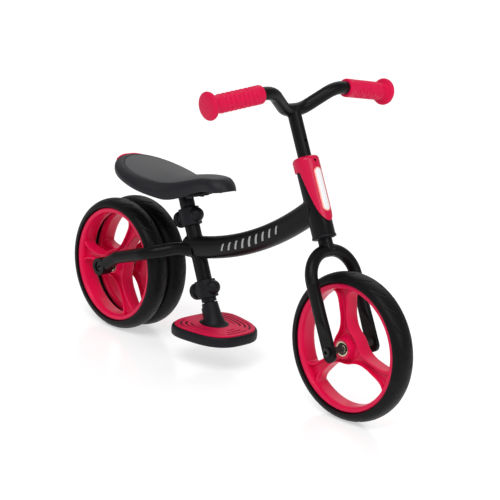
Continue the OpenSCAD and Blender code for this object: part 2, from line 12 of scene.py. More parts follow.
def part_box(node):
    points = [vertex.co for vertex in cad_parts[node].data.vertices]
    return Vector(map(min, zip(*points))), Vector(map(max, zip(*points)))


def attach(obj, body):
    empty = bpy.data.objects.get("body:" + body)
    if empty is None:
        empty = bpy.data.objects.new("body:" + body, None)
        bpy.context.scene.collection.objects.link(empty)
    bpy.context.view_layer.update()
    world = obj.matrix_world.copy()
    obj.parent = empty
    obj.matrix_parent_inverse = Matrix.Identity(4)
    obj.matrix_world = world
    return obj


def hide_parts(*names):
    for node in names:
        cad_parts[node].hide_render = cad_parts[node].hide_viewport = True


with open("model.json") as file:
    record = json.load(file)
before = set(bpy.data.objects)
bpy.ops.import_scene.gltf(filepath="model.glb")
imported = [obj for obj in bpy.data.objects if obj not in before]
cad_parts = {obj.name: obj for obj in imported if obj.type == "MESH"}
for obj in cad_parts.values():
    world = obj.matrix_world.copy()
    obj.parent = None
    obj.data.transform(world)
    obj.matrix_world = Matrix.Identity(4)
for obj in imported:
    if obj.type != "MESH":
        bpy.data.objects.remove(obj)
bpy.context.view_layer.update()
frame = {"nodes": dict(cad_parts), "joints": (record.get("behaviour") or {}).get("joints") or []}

MM = 0.001
NODES = frame["nodes"]
JOINT = {j["name"]: j for j in frame["joints"]}
TAU = 2 * math.pi


# ---------------------------------------------------------------- reference frames

def lean_frame(origin, up):
    """Matrix whose Z is up and whose Y is the rider's left."""
    z = Vector(up).normalized()
    y = Vector((0, 1, 0))
    x = y.cross(z)
    m = Matrix((x, y, z)).transposed().to_4x4()
    m.translation = origin
    return m


FRONT = Vector(JOINT["front_wheel_spin"]["pos_m"])
REAR_R = Vector(JOINT["rear_right_wheel_spin"]["pos_m"])
REAR_L = Vector(JOINT["rear_left_wheel_spin"]["pos_m"])
HEAD = lean_frame(FRONT, JOINT["steering"]["axis"])
SEAT_AXIS = Vector(JOINT["seat_height"]["axis"])
# Places of the two clamps along the seat tube, in mm from its own origin
CLAMP_Q = 50.5
FOOT_CLAMP_Q = -65.5
SEAT_O = Vector(JOINT["seat_knob_turn"]["pos_m"]) - SEAT_AXIS * CLAMP_Q * MM
SEAT = lean_frame(SEAT_O, SEAT_AXIS)


# ---------------------------------------------------------------- materials

DRIFT_SCALE, DUST_SCALE = 9.0, 38.0
DUST_GREY = (0.32, 0.31, 0.30)
BUMP_DEPTH = 0.0004


def nodes_of(mat):
    """The material's nodes, its links and its main shader."""
    mat.use_nodes = True
    return mat.node_tree.nodes, mat.node_tree.links, mat.node_tree.nodes["Principled BSDF"]


def noise(nt, links, coords, scale, detail, rough=0.55):
    """Fractal noise as a value from 0 to 1."""
    n = nt.new("ShaderNodeTexNoise")
    n.inputs["Scale"].default_value = scale
    n.inputs["Detail"].default_value = detail
    n.inputs["Roughness"].default_value = rough
    links.new(coords, n.inputs["Vector"])
    return n.outputs["Fac"]


def map_range(nt, links, src, a, b, lo=0.3, hi=0.7):
    """The value src, moved from the range lo to hi to the range a to b."""
    m = nt.new("ShaderNodeMapRange")
    m.inputs["From Min"].default_value = lo
    m.inputs["From Max"].default_value = hi
    m.inputs["To Min"].default_value = a
    m.inputs["To Max"].default_value = b
    links.new(src, m.inputs["Value"])
    return m.outputs["Result"]


def mix_rgb(nt, links, fac, a, b):
    """Colour between a and b, each a colour or a socket."""
    m = nt.new("ShaderNodeMix")
    m.data_type = "RGBA"
    links.new(fac, m.inputs[0])
    for socket, value in ((m.inputs[6], a), (m.inputs[7], b)):
        if isinstance(value, (tuple, list)):
            socket.default_value = (*value, 1)
        else:
            links.new(value, socket)
    return m.outputs[2]


def surface(name, colour, rough, vary=0.08, rough_vary=0.06, grain=900, bump=0.12,
            metallic=0.0, coat=0.0, coat_rough=0.2, specular=0.5, sheen=0.0, wear=0.0,
            wear_colour=None, dust=0.0, grain2=None, anisotropic=0.0, subsurface=0.0):
    """Procedural finish: slow colour drift, fine grain in roughness and bump, worn edges."""
    mat = bpy.data.materials.new(name)
    nt, links, bsdf = nodes_of(mat)
    tex = nt.new("ShaderNodeTexCoord").outputs["Object"]
    drift = noise(nt, links, tex, DRIFT_SCALE, 2.0)
    fine = noise(nt, links, tex, grain, 4.0)
    low = tuple(c * (1 - vary) for c in colour)
    high = tuple(min(1, c * (1 + vary)) for c in colour)
    shade = mix_rgb(nt, links, map_range(nt, links, drift, 0, 1), low, high)
    if wear:
        geo = nt.new("ShaderNodeNewGeometry").outputs["Pointiness"]
        edge = map_range(nt, links, geo, 0.0, wear, 0.515, 0.60)
        worn = wear_colour or tuple(min(1, c * 1.9 + 0.03) for c in colour)
        shade = mix_rgb(nt, links, edge, shade, worn)
    if dust:
        patch = noise(nt, links, tex, DUST_SCALE, 6.0, 0.7)
        fleck = map_range(nt, links, patch, 0.0, dust, 0.52, 0.75)
        shade = mix_rgb(nt, links, fleck, shade, DUST_GREY)
    links.new(shade, bsdf.inputs["Base Color"])
    spread = map_range(nt, links, fine, rough - rough_vary, rough + rough_vary)
    links.new(spread, bsdf.inputs["Roughness"])
    height = fine
    if grain2:
        second = noise(nt, links, tex, grain2, 2.0)
        add = nt.new("ShaderNodeMath")
        add.operation = "ADD"
        links.new(fine, add.inputs[0])
        links.new(second, add.inputs[1])
        height = add.outputs[0]
    b = nt.new("ShaderNodeBump")
    b.inputs["Strength"].default_value = bump
    b.inputs["Distance"].default_value = BUMP_DEPTH
    links.new(height, b.inputs["Height"])
    links.new(b.outputs["Normal"], bsdf.inputs["Normal"])
    bsdf.inputs["Metallic"].default_value = metallic
    bsdf.inputs["Coat Weight"].default_value = coat
    bsdf.inputs["Coat Roughness"].default_value = coat_rough
    bsdf.inputs["Specular IOR Level"].default_value = specular
    bsdf.inputs["Sheen Weight"].default_value = sheen
    bsdf.inputs["Anisotropic"].default_value = anisotropic
    if subsurface:
        bsdf.inputs["Subsurface Weight"].default_value = subsurface
        bsdf.inputs["Subsurface Radius"].default_value = (1.0, 0.25, 0.2)
        bsdf.inputs["Subsurface Scale"].default_value = 0.003
    return mat


RED = (0.69, 0.004, 0.064)
COVER_RED = (0.54, 0.004, 0.050)
MAT = {
    "black_paint": surface("black_paint", (0.0040, 0.0036, 0.0042), 0.34, bump=0.08,
                           grain=1400, grain2=260, specular=0.12, wear=0.03),
    "red_plastic": surface("red_plastic", RED, 0.32, vary=0.05, bump=0.05, grain=1100,
                           specular=0.17, coat=0.03, coat_rough=0.25, subsurface=0.05),
    "cover_red": surface("cover_red", COVER_RED, 0.30, vary=0.05, bump=0.05, grain=1100,
                         specular=0.20, coat=0.04, coat_rough=0.25, subsurface=0.05),
    "red_rubber": surface("red_rubber", (0.63, 0.004, 0.058), 0.48, vary=0.06, bump=0.20,
                          grain=1800, specular=0.13, sheen=0.01),
    "dark_plastic": surface("dark_plastic", (0.0070, 0.0073, 0.0100), 0.48, bump=0.30,
                            grain=2200, specular=0.16, wear=0.03),
    "seat_plastic": surface("seat_plastic", (0.0095, 0.0095, 0.0130), 0.48, bump=0.30,
                            grain=2200, specular=0.22, wear=0.02),
    "pad_grey": surface("pad_grey", (0.060, 0.061, 0.064), 0.60, vary=0.06, bump=0.45,
                        grain=1300, grain2=4200, specular=0.28, sheen=0.04),
    "tyre_black": surface("tyre_black", (0.0038, 0.0038, 0.0042), 0.42, bump=0.30,
                          grain=1500, grain2=120, specular=0.11, dust=0.010),
    "black_steel": surface("black_steel", (0.014, 0.014, 0.015), 0.34, bump=0.10,
                           grain=2500, metallic=0.6, wear=0.25),
    "bearing_steel": surface("bearing_steel", (0.62, 0.52, 0.36), 0.24, bump=0.05,
                             grain=3000, metallic=1.0, anisotropic=0.5),
    "axle_steel": surface("axle_steel", (0.55, 0.55, 0.56), 0.28, bump=0.05,
                          grain=3000, metallic=1.0, anisotropic=0.4),
    "seal_black": surface("seal_black", (0.012, 0.010, 0.009), 0.55, bump=0.2, grain=2000),
    "decal_grey": surface("decal_grey", (0.34, 0.34, 0.35), 0.38, vary=0.05, bump=0.10,
                          grain=1400),
    "white_plate": surface("white_plate", (0.80, 0.80, 0.82), 0.22, vary=0.02, bump=0.03,
                           grain=900, coat=0.4, coat_rough=0.08),
}
LOOK_OF = {
    "black_paint": ("head_tube", "main_tube", "seat_tube", "chainstay_right",
                    "chainstay_left", "steerer_tube", "fork_arch", "handlebar_stem",
                    "handlebar_bar", "seat_post", "foot_post", "seat_bracket"),
    "black_steel": ("rear_bolts", "front_bolts", "height_screw", "seat_screws",
                    "foot_screw"),
    "axle_steel": ("rear_axle", "front_axle"),
    "dark_plastic": ("upper_bush", "lower_bush", "crown_washer", "lock_collar",
                     "seat_shim", "foot_shim", "rear_spacers"),
    "seal_black": ("front_spacers",),
}
for look, names in LOOK_OF.items():
    for node in names:
        data = NODES[node].data
        data.materials.clear()
        data.materials.append(MAT[look])


# Points of a CAD node this close, in metres, are one point
WELD_GAP = 2e-6
# Edges sharper than these, in degrees, are rounded on CAD nodes and creased on made meshes
CRISP_ANGLE, CREASE_ANGLE = 38, 42


def crisp(obj, width):
    """Small rounded edges on a CAD node, by modifiers only."""
    weld = obj.modifiers.new("weld", "WELD")
    weld.merge_threshold = WELD_GAP
    bevel = obj.modifiers.new("bevel", "BEVEL")
    bevel.width = width * MM
    bevel.segments = 2
    bevel.limit_method = "ANGLE"
    bevel.angle_limit = math.radians(CRISP_ANGLE)
    bevel.harden_normals = False


# ---------------------------------------------------------------- mesh helpers

def make(name, verts, faces, look, body, replaced=(), at=None, face_looks=None,
         scale=MM):
    """A mesh object from points in millimetres, placed by a frame and set on a body."""
    mesh = bpy.data.meshes.new(name)
    pts = np.asarray(verts, float) * scale
    if at is not None:
        m = np.array(at)
        pts = pts @ m[:3, :3].T + m[:3, 3]
    mesh.from_pydata(pts.tolist(), [], faces)
    looks = [look] if isinstance(look, str) else list(look)
    for n in looks:
        mesh.materials.append(MAT[n])
    if face_looks is not None:
        mesh.polygons.foreach_set("material_index", np.asarray(face_looks, np.int32))
    bm = bmesh.new()
    bm.from_mesh(mesh)
    bmesh.ops.remove_doubles(bm, verts=bm.verts, dist=1e-6)
    bmesh.ops.recalc_face_normals(bm, faces=bm.faces)
    bm.to_mesh(mesh)
    bm.free()
    mesh.polygons.foreach_set("use_smooth", np.full(len(mesh.polygons), True))
    mesh.set_sharp_from_angle(angle=math.radians(CREASE_ANGLE))
    obj = bpy.data.objects.new(name, mesh)
    bpy.context.scene.collection.objects.link(obj)
    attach(obj, body)
    if replaced:
        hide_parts(*replaced)
    return obj


def grid_faces(nu, nv, wrap_u, wrap_v, first=0):
    """Quads of an nu by nv grid of points, whose index is u * nv + v."""
    faces = []
    for i in range(nu if wrap_u else nu - 1):
        a, b = first + i * nv, first + (i + 1) % nu * nv
        for j in range(nv if wrap_v else nv - 1):
            k = (j + 1) % nv
            faces.append((a + j, b + j, b + k, a + k))
    return faces


def loft(rings, cap_start=False, cap_end=False):
    """Closed rings joined in order, with flat ends where asked."""
    rings = [np.asarray(r, float) for r in rings]
    n = len(rings[0])
    faces = grid_faces(len(rings), n, False, True)
    if cap_start:
        faces.append(tuple(range(n))[::-1])
    if cap_end:
        faces.append(tuple(range((len(rings) - 1) * n, len(rings) * n)))
    return np.vstack(rings), faces


def lathe(profile, n=128, closed=True):
    """Points (r, z) turned about Z: closed joins the last to the first."""
    p = np.asarray(profile, float)
    a = np.arange(n) * TAU / n
    pts = np.stack([np.outer(np.cos(a), p[:, 0]), np.outer(np.sin(a), p[:, 0]),
                    np.tile(p[:, 1], (n, 1))], -1).reshape(-1, 3)
    return pts, grid_faces(n, len(p), True, closed)


def join(parts):
    """Several (points, faces) as one."""
    verts, faces, first = [], [], 0
    for v, f in parts:
        verts.append(np.asarray(v, float))
        faces += [tuple(i + first for i in face) for face in f]
        first += len(v)
    return np.vstack(verts), faces


def rounded(profile, radius, steps=4):
    """The corners of a closed 2-D outline rounded by at most radius."""
    p = [np.array(q, float) for q in profile]
    out = []
    n = len(p)
    for i in range(n):
        a, b, c = p[i - 1], p[i], p[(i + 1) % n]
        ab, cb = a - b, c - b
        la, lc = np.linalg.norm(ab), np.linalg.norm(cb)
        cut = min(radius, la * 0.48, lc * 0.48)
        s, e = b + ab / la * cut, b + cb / lc * cut
        for k in range(steps + 1):
            t = k / steps
            out.append(s * (1 - t) ** 2 + b * 2 * t * (1 - t) + e * t ** 2)
    return np.array(out)


def tube_along(path, radius, sides=12, closed=True):
    """A round tube along points, with one radius for each."""
    p = np.asarray(path, float)
    n = len(p)
    r = np.broadcast_to(np.asarray(radius, float), (n,))
    tangent = (np.roll(p, -1, 0) - np.roll(p, 1, 0)) if closed else np.gradient(p, axis=0)
    tangent /= np.linalg.norm(tangent, axis=1)[:, None]
    centre = p.mean(0)
    out = p - centre
    out -= (out * tangent).sum(1)[:, None] * tangent
    out /= np.linalg.norm(out, axis=1)[:, None]
    side = np.cross(tangent, out)
    a = np.arange(sides) * TAU / sides
    pts = (p[:, None] + r[:, None, None] * (np.cos(a)[None, :, None] * out[:, None]
                                            + np.sin(a)[None, :, None] * side[:, None]))
    return pts.reshape(-1, 3), grid_faces(n, sides, closed, True)


def bead(path, radius, pitch=2.2):
    """A weld bead: a tube along a closed path with the ripples of the weld pool."""
    p = np.asarray(path, float)
    step = np.linalg.norm(np.roll(p, -1, 0) - p, axis=1)
    s = np.concatenate([[0], np.cumsum(step)[:-1]])
    waves = max(1, round(step.sum() / pitch))
    ripple = np.abs(np.sin(s / step.sum() * waves * math.pi))
    return tube_along(p, radius * (0.86 + 0.22 * ripple), 10)


def smooth_step(x, a, b):
    """0 up to a, 1 from b, and a smooth climb between them."""
    t = np.clip((np.asarray(x, float) - a) / (b - a), 0, 1)
    return t * t * (3 - 2 * t)


def soft_copy(node, look, body, voxel, passes):
    """A CAD node's shape with moulded, filleted edges, from a fine remesh."""
    src = NODES[node].data
    mesh = src.copy()
    mesh.name = node + "_moulded"
    bm = bmesh.new()
    bm.from_mesh(mesh)
    bmesh.ops.remove_doubles(bm, verts=bm.verts, dist=WELD_GAP)
    bm.to_mesh(mesh)
    bm.free()
    obj = bpy.data.objects.new(node + "_moulded", mesh)
    bpy.context.scene.collection.objects.link(obj)
    remesh = obj.modifiers.new("remesh", "REMESH")
    remesh.mode = "VOXEL"
    remesh.voxel_size = voxel * MM
    relax = obj.modifiers.new("relax", "SMOOTH")
    relax.factor = 0.5
    relax.iterations = passes
    dg = bpy.context.evaluated_depsgraph_get()
    final = bpy.data.meshes.new_from_object(obj.evaluated_get(dg))
    obj.modifiers.clear()
    obj.data = final
    final.materials.clear()
    final.materials.append(MAT[look])
    final.polygons.foreach_set("use_smooth", np.full(len(final.polygons), True))
    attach(obj, body)
    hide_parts(node)
    return obj


# ---------------------------------------------------------------- wheels

TYRE_R, TYRE_W = 108.0, 36.0
RIM_R, RIM_LIP, RIM_WALL, RIM_SEAT = 93.0, 15.0, 84.0, 89.5
HUB_R, HUB_BORE, FRONT_HUB, REAR_HUB = 15.0, 6.5, 19.0, 17.0
BEARING_R, BEARING_W, AXLE_BORE = 11.0, 7.0, 4.05
# How far the wheels are turned, in degrees
FRONT_SPIN, REAR_SPIN = 42.0, 119.0
# Middle radius, half depth, half angle and squareness of a window between the spokes
WINDOW_R, WINDOW_HALF, WINDOW_ANGLE, WINDOW_POWER = 60, 36, 52.5, 0.6
# From a window's edge to where its raised wall meets the spokes' floor
RIB_FOOT = 3.6


def wheel_frame(hub):
    """Local Z is the wheel's axle, towards the rider's right."""
    m = Matrix.Rotation(math.pi / 2, 4, "X")
    m.translation = hub
    return m


def tyre(name, hub, body, node):
    """Round tyre with curved tread cuts on each shoulder and a line on each side wall."""
    seg, cuts, depth, half_w = 960, 22, 1.0, 1.15
    t = np.radians(np.linspace(-90, 90, 43))
    crown_r = RIM_R + 1 + (TYRE_R - RIM_R - 1) * np.maximum(np.cos(t), 0) ** 0.75
    crown_z = TYRE_W / 2 * np.sin(t)
    a = np.arange(seg) * TAU / seg
    r = np.tile(crown_r, (seg, 1))
    z = np.tile(crown_z, (seg, 1))
    pitch = TAU / cuts
    for side in (-1, 1):
        s = np.clip(side * crown_z / 15.5, 0, 1.2)
        middle = 0.62 * pitch * s ** 1.7 + (0.5 * pitch if side > 0 else 0)
        off = (a[:, None] - middle[None, :] + pitch / 2) % pitch - pitch / 2
        gap = np.abs(off) * TYRE_R / half_w
        cut = np.exp(-gap ** 2.4) * (smooth_step(s, 0.10, 0.22)
                                     * (1 - smooth_step(s, 0.93, 1.02)))[None, :]
        r -= depth * cut
    for ring in (0.905, -0.905):
        line = np.exp(-((np.sin(t) - ring) / 0.018) ** 2)
        r -= 0.5 * line[None, :]
    x, y = r * np.cos(a)[:, None], r * np.sin(a)[:, None]
    inner = np.array([[RIM_R + 0.2, RIM_LIP], [RIM_R + 0.2, RIM_LIP - 2.5],
                      [RIM_SEAT + 0.05, RIM_LIP - 3.5], [RIM_SEAT + 0.05, 3.5 - RIM_LIP],
                      [RIM_R + 0.2, 2.5 - RIM_LIP], [RIM_R + 0.2, -RIM_LIP]])
    ix = np.outer(np.cos(a), inner[:, 0])
    iy = np.outer(np.sin(a), inner[:, 0])
    iz = np.tile(inner[:, 1], (seg, 1))
    pts = np.stack([np.hstack([x, ix]), np.hstack([y, iy]), np.hstack([z, iz])], -1)
    nv = pts.shape[1]
    make(name, pts.reshape(-1, 3), grid_faces(seg, nv, True, True), "tyre_black", body,
         [node], wheel_frame(hub))


def window_points(wall, turn, limit, n=120):
    """Outline of one window between the spokes, grown by wall, inside a radius."""
    t = np.arange(n) * TAU / n
    c, s = np.cos(t), np.sin(t)
    r = np.minimum(WINDOW_R + (WINDOW_HALF + wall) * np.sign(c) * np.abs(c) ** WINDOW_POWER,
                   limit)
    a = turn + np.radians((WINDOW_ANGLE + wall) * np.sign(s) * np.abs(s) ** WINDOW_POWER)
    return np.stack([r * np.cos(a), r * np.sin(a)], -1)


def web_plate(turn, half):
    """Flat floor of the spokes on both sides, triangulated round the three windows."""
    outer = RIM_WALL + 1.5
    ring = [(outer * math.cos(i * TAU / 180), outer * math.sin(i * TAU / 180))
            for i in range(180)]
    loops = [ring]
    for k in range(3):
        edge = window_points(RIB_FOOT, turn + k * TAU / 3, outer - 0.5)
        keep = [edge[0]]
        for q in edge[1:]:
            if np.linalg.norm(q - keep[-1]) > 0.35:
                keep.append(q)
        loops.append([tuple(q) for q in keep])
    verts, edges = [], []
    for loop in loops:
        base = len(verts)
        verts += [Vector(q) for q in loop]
        edges += [(base + i, base + (i + 1) % len(loop)) for i in range(len(loop))]
    v, _, f, _, _, _ = delaunay_2d_cdt(verts, edges, [], 0, 1e-4)
    v = np.array([[q[0], q[1]] for q in v])

    def inside(q):
        """Whether a point lies on the floor, clear of the windows."""
        rad, ang = math.hypot(*q), math.atan2(q[1], q[0])
        if rad > outer - 0.01:
            return False
        for k in range(3):
            d = (ang - turn - k * TAU / 3 + math.pi) % TAU - math.pi
            x = (rad - WINDOW_R) / (WINDOW_HALF + RIB_FOOT)
            y = math.degrees(d) / (WINDOW_ANGLE + RIB_FOOT)
            if abs(x) ** (2 / WINDOW_POWER) + abs(y) ** (2 / WINDOW_POWER) < 1:
                return False
        return True

    tris = [t for t in f if len(t) == 3 and inside(v[list(t)].mean(0))]
    top = np.hstack([v, np.full((len(v), 1), half)])
    low = np.hstack([v, np.full((len(v), 1), -half)])
    m = len(v)
    return np.vstack([top, low]), tris + [tuple(i + m for i in t[::-1]) for t in tris]


def rib_section(top, floor):
    """(wall offset, height) over a window's raised edge, from the opening to the floor."""
    return [(0.15, 0.0), (0.05, top * 0.5), (0.0, top - 1.1), (0.25, top - 0.45),
            (0.75, top - 0.08), (1.25, top), (1.75, top - 0.10), (2.15, top - 0.5),
            (2.35, top - 1.2), (2.45, floor + 2.4), (2.7, floor + 1.1),
            (3.2, floor + 0.35), (4.1, floor), (4.6, floor - 0.4)]


def rim(name, hub, body, node, spin, hub_half):
    """Moulded rim: a barrel, three spokes between walled windows, and the hub."""
    turn = math.radians(spin)
    lip, floor, top = RIM_LIP, 4.0, RIM_LIP - 3.6
    barrel = rounded([(RIM_WALL + 1.2, -lip + 2.2), (RIM_R - 6.4, -lip), (RIM_R - 0.8, -lip),
                      (RIM_R, -lip + 2.6), (RIM_SEAT, -lip + 3.5), (RIM_SEAT, lip - 3.5),
                      (RIM_R, lip - 2.6), (RIM_R - 0.8, lip), (RIM_R - 6.4, lip),
                      (RIM_WALL + 1.2, lip - 2.2), (RIM_WALL, lip - 6), (RIM_WALL, 6 - lip)],
                     1.6, 4)
    parts = [lathe(barrel, 240)]
    for side in (1, -1):
        for k in range(3):
            rings = []
            for wall, height in rib_section(top, floor):
                p = window_points(wall, turn + k * TAU / 3, RIM_WALL + 0.8)
                r = np.linalg.norm(p, axis=1)
                dip = 1 - 0.16 * smooth_step(r, 45, 82)
                z = np.where(height > floor, floor + (height - floor) * dip, height)
                rings.append(np.column_stack([p, side * z]))
            parts.append(loft(rings))
    parts.append(web_plate(turn, floor))
    ball_z = hub_half - BEARING_W
    shape = rounded([(HUB_BORE, -ball_z), (BEARING_R, -ball_z), (BEARING_R, -hub_half),
                     (HUB_R - 0.6, -hub_half), (HUB_R + 0.6, -floor - 3), (HUB_R + 5, -floor),
                     (HUB_R + 5, floor), (HUB_R + 0.6, floor + 3), (HUB_R - 0.6, hub_half),
                     (BEARING_R, hub_half), (BEARING_R, ball_z), (HUB_BORE, ball_z)],
                    1.1, 3)
    parts.append(lathe(shape, 96))
    verts, faces = join(parts)
    make(name, verts, faces, "red_plastic", body, [node], wheel_frame(hub))


def bearing_pair(name, hub, body, node, hub_half):
    """The two ball bearings of a hub, each with its dark seal."""
    parts, looks = [], []
    steel = rounded([(AXLE_BORE, hub_half - BEARING_W), (BEARING_R, hub_half - BEARING_W),
                     (BEARING_R, hub_half - 0.1), (8.9, hub_half - 0.1),
                     (8.7, hub_half - 0.8), (6.3, hub_half - 0.8), (6.1, hub_half - 0.1),
                     (AXLE_BORE, hub_half - 0.1)], 0.35, 3)
    seal = rounded([(6.35, hub_half - 1.4), (8.65, hub_half - 1.4), (8.65, hub_half - 0.5),
                    (6.35, hub_half - 0.5)], 0.2, 3)
    for side in (1, -1):
        for look, outline in ((0, steel), (1, seal)):
            v, f = lathe(outline, 72)
            v[:, 2] *= side
            parts.append((v, f))
            looks += [look] * len(f)
    verts, faces = join(parts)
    make(name, verts, faces, ["bearing_steel", "seal_black"], body, [node],
         wheel_frame(hub), looks)


def slim_spacers(name, hub, body, node, hub_half):
    """The sleeves on the axle, waisted between the bearings and the fork's ends."""
    end = max(abs(p[1]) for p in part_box(node)) / MM
    start, radius, collar = hub_half + 0.3, 5.0, 6.2
    parts = []
    for side in (1, -1):
        outline = rounded([(AXLE_BORE, start), (collar, start), (collar, start + 1.6),
                           (radius, start + 2.4), (radius, end - 2.4), (collar, end - 1.6),
                           (collar, end), (AXLE_BORE, end)], 0.4, 3)
        v, f = lathe(outline, 72)
        v[:, 2] *= side
        parts.append((v, f))
    verts, faces = join(parts)
    make(name, verts, faces, "seal_black", body, [node], wheel_frame(hub))


for prefix, hub, spin, hub_half in (("front", FRONT, FRONT_SPIN, FRONT_HUB),
                                    ("rear_right", REAR_R, REAR_SPIN, REAR_HUB),
                                    ("rear_left", REAR_L, REAR_SPIN, REAR_HUB)):
    wheel_body = prefix + "_wheel"
    tyre(prefix + "_tyre_treaded", hub, wheel_body, prefix + "_tyre")
    rim(prefix + "_rim_moulded", hub, wheel_body, prefix + "_rim", spin, hub_half)
    bearing_pair(prefix + "_bearing_races", hub, wheel_body, prefix + "_bearings", hub_half)
slim_spacers("front_spacers_waisted", FRONT, "fork", "front_spacers", FRONT_HUB)


# ---------------------------------------------------------------- grips

BAR_S, BAR_R = 348.0, 9.5
BAR_END = (20.0, 174.0, BAR_S + 11.0)
BAR_BEND = (32.0, 64.0, BAR_S + 21.0)
GRIP_LEN, GRIP_R = 90.0, 13.6


def tip_frame(side):
    """Local Z runs out along the bar's end, on one side."""
    end = Vector(BAR_END) * MM
    bend = Vector(BAR_BEND) * MM
    end.y *= side
    bend.y *= side
    z = (end - bend).normalized()
    x = Vector((0, 0, 1)).cross(z).cross(z).normalized()
    m = Matrix((x, z.cross(x), z)).transposed().to_4x4()
    m.translation = end
    return HEAD @ m


def grip(side):
    """Grip with ribs, notched valleys between them and a safety flange at its end."""
    n, rows, first, pitch = 144, 8, 17.0, 7.8
    z = np.linspace(-GRIP_LEN, -4.6, 250)
    a = np.arange(n) * TAU / n
    inner = z + GRIP_LEN
    base = np.full(len(z), GRIP_R - 0.75)
    base += 0.75 * (1 - smooth_step(inner, 12.5, 14.5))
    base -= 2.2 * (1 - np.sqrt(np.clip(1 - ((2.6 - inner) / 2.6).clip(0, 1) ** 2, 0, 1)))
    r = np.tile(base[:, None], (1, n))
    for i in range(rows):
        mid = first + i * pitch
        ridge = np.exp(-((inner - mid) / 1.75) ** 4)
        r += 0.75 * ridge[:, None]
        valley = np.exp(-((inner - mid - pitch / 2) / 1.05) ** 4)
        around = np.cos(7 * (a + (0.25 if i % 2 else 0.0)))
        slot = smooth_step(around, -0.15, 0.25)
        if i < rows - 1:
            r -= 1.0 * valley[:, None] * slot[None, :]
    r -= 0.5 * smooth_step(inner, 76, 80)[:, None]
    bore = BAR_R + 0.05
    rings = [np.column_stack([bore * np.cos(a), bore * np.sin(a), np.full(n, -GRIP_LEN)])]
    rings += [np.column_stack([r[i] * np.cos(a), r[i] * np.sin(a), np.full(n, z[i])])
              for i in range(len(z))]
    flange = [(13.0, -3.9), (14.2, -3.5), (16.4, -2.9), (18.2, -2.3), (19.3, -1.2),
              (19.9, 0.3), (20.0, 1.6), (19.7, 2.9), (18.9, 3.9), (17.6, 4.7), (15.6, 5.3),
              (12.5, 5.8), (9.0, 6.15), (5.0, 6.35), (1.5, 6.4)]
    for fr, fz in flange:
        rings.append(np.column_stack([fr * np.cos(a), fr * np.sin(a), np.full(n, fz)]))
    verts, faces = loft(rings, False, True)
    word = "left" if side > 0 else "right"
    make("grip_%s_ribbed" % word, verts, faces, "red_rubber", "handlebar",
         ["grip_" + word], tip_frame(side))


grip(1)
grip(-1)


# ---------------------------------------------------------------- seat

SEAT_HALF, SEAT_TAIL, SEAT_NOSE = 65.0, -268.0, -17.0
WIDE_X, NOSE_X, NOSE_HALF = -180.0, -56.0, 26.0
LOW_X, LOW_Z, SKIRT_X, SKIRT_Z = -140.0, 267.0, -124.0, 245.5
PAD_INSET, PAD_DROP, SHELL_T = 15.0, 4.0, 9.0
# Width and fall of the rounded edge
EDGE_WIDE, EDGE_FALL = 14.0, 7.0
# Half the tail trim's sweep round the seat's plan, in degrees
TRIM_SWEEP = 25.0
SEAT_N = 240


def rise(u):
    """A smooth rise from 0 to 1 as u goes from 0 to 1, level outside."""
    return (1 - np.cos(np.pi * np.clip(u, 0, 1))) / 2


def seat_top(x):
    """Height of the seat's upper edge."""
    rear = LOW_Z + 22 * np.clip((LOW_X - x) / 128, 0, None) ** 1.5
    front = (LOW_Z + 24 * rise((x - LOW_X) / 95)
             - 9 * np.clip((x + 45) / 28, 0, None) ** 2)
    return np.where(x < LOW_X, rear, front)


def seat_crown(x):
    """Height of the pad along its middle."""
    rear = LOW_Z + 13.5 + 8 * np.clip((LOW_X - x) / 128, 0, None) ** 1.4
    front = (LOW_Z + 13.5 + 14.5 * rise((x - LOW_X) / 98)
             - 12 * np.clip((x + 42) / 25, 0, None) ** 2)
    return np.where(x < LOW_X, rear, front)


def seat_base(x):
    """Height of the shell's lower edge."""
    rear = SKIRT_Z + 27 * np.clip((SKIRT_X - x) / 144, 0, None) ** 1.15
    front = (SKIRT_Z + 25.5 * rise((x - SKIRT_X) / 80)
             + 5 * np.clip((x + 44) / 27, 0, None) ** 2)
    return np.where(x < SKIRT_X, rear, front)


def seat_width(x, inset):
    """Half width of the seat's plan with its edge moved in."""
    tail = np.clip((WIDE_X - x) / (WIDE_X - SEAT_TAIL - inset), 0, 1)
    nose = np.clip((x - NOSE_X) / (SEAT_NOSE - NOSE_X - inset), 0, 1)
    slim = rise((x - WIDE_X) / (NOSE_X - WIDE_X))
    body = (SEAT_HALF - inset) * (1 - slim) + (NOSE_HALF - 0.5 * inset) * slim
    return np.where(x < WIDE_X, (SEAT_HALF - inset) * np.sqrt(1 - tail ** 2.2),
                    np.where(x < NOSE_X, body,
                             (NOSE_HALF - 0.5 * inset) * np.sqrt(1 - nose ** 2.6)))


def seat_ring(inset):
    """The seat's plan with its edge moved in, as x and y."""
    u = np.arange(SEAT_N) * TAU / SEAT_N
    x0, x1 = SEAT_TAIL + inset, SEAT_NOSE - inset
    x = (x0 + x1) / 2 - (x1 - x0) / 2 * np.cos(u)
    y = seat_width(x, inset) * np.where(np.sin(u) >= 0, 1, -1)
    return x, np.where(np.abs(np.sin(u)) < 1e-9, 0, y)


def seat_surface(x, y):
    """Height of the upper skin, crowned from side to side."""
    w = np.maximum(seat_width(x, 0) - 7, 9)
    return seat_crown(x) - (seat_crown(x) - seat_top(x)) * (y / w) ** 2


def seat_skin(inset, drop, cols=28):
    """The area inside the edge moved in by inset, that far below the upper skin."""
    x, y = seat_ring(inset)
    half = SEAT_N // 2
    xx = np.repeat(x[:half + 1, None], cols + 1, 1)
    yy = y[:half + 1, None] * (1 - 2 * np.arange(cols + 1) / cols)[None, :]
    pts = np.stack([xx, yy, seat_surface(xx, yy) - drop], -1).reshape(-1, 3)
    return pts, grid_faces(half + 1, cols + 1, False, False)


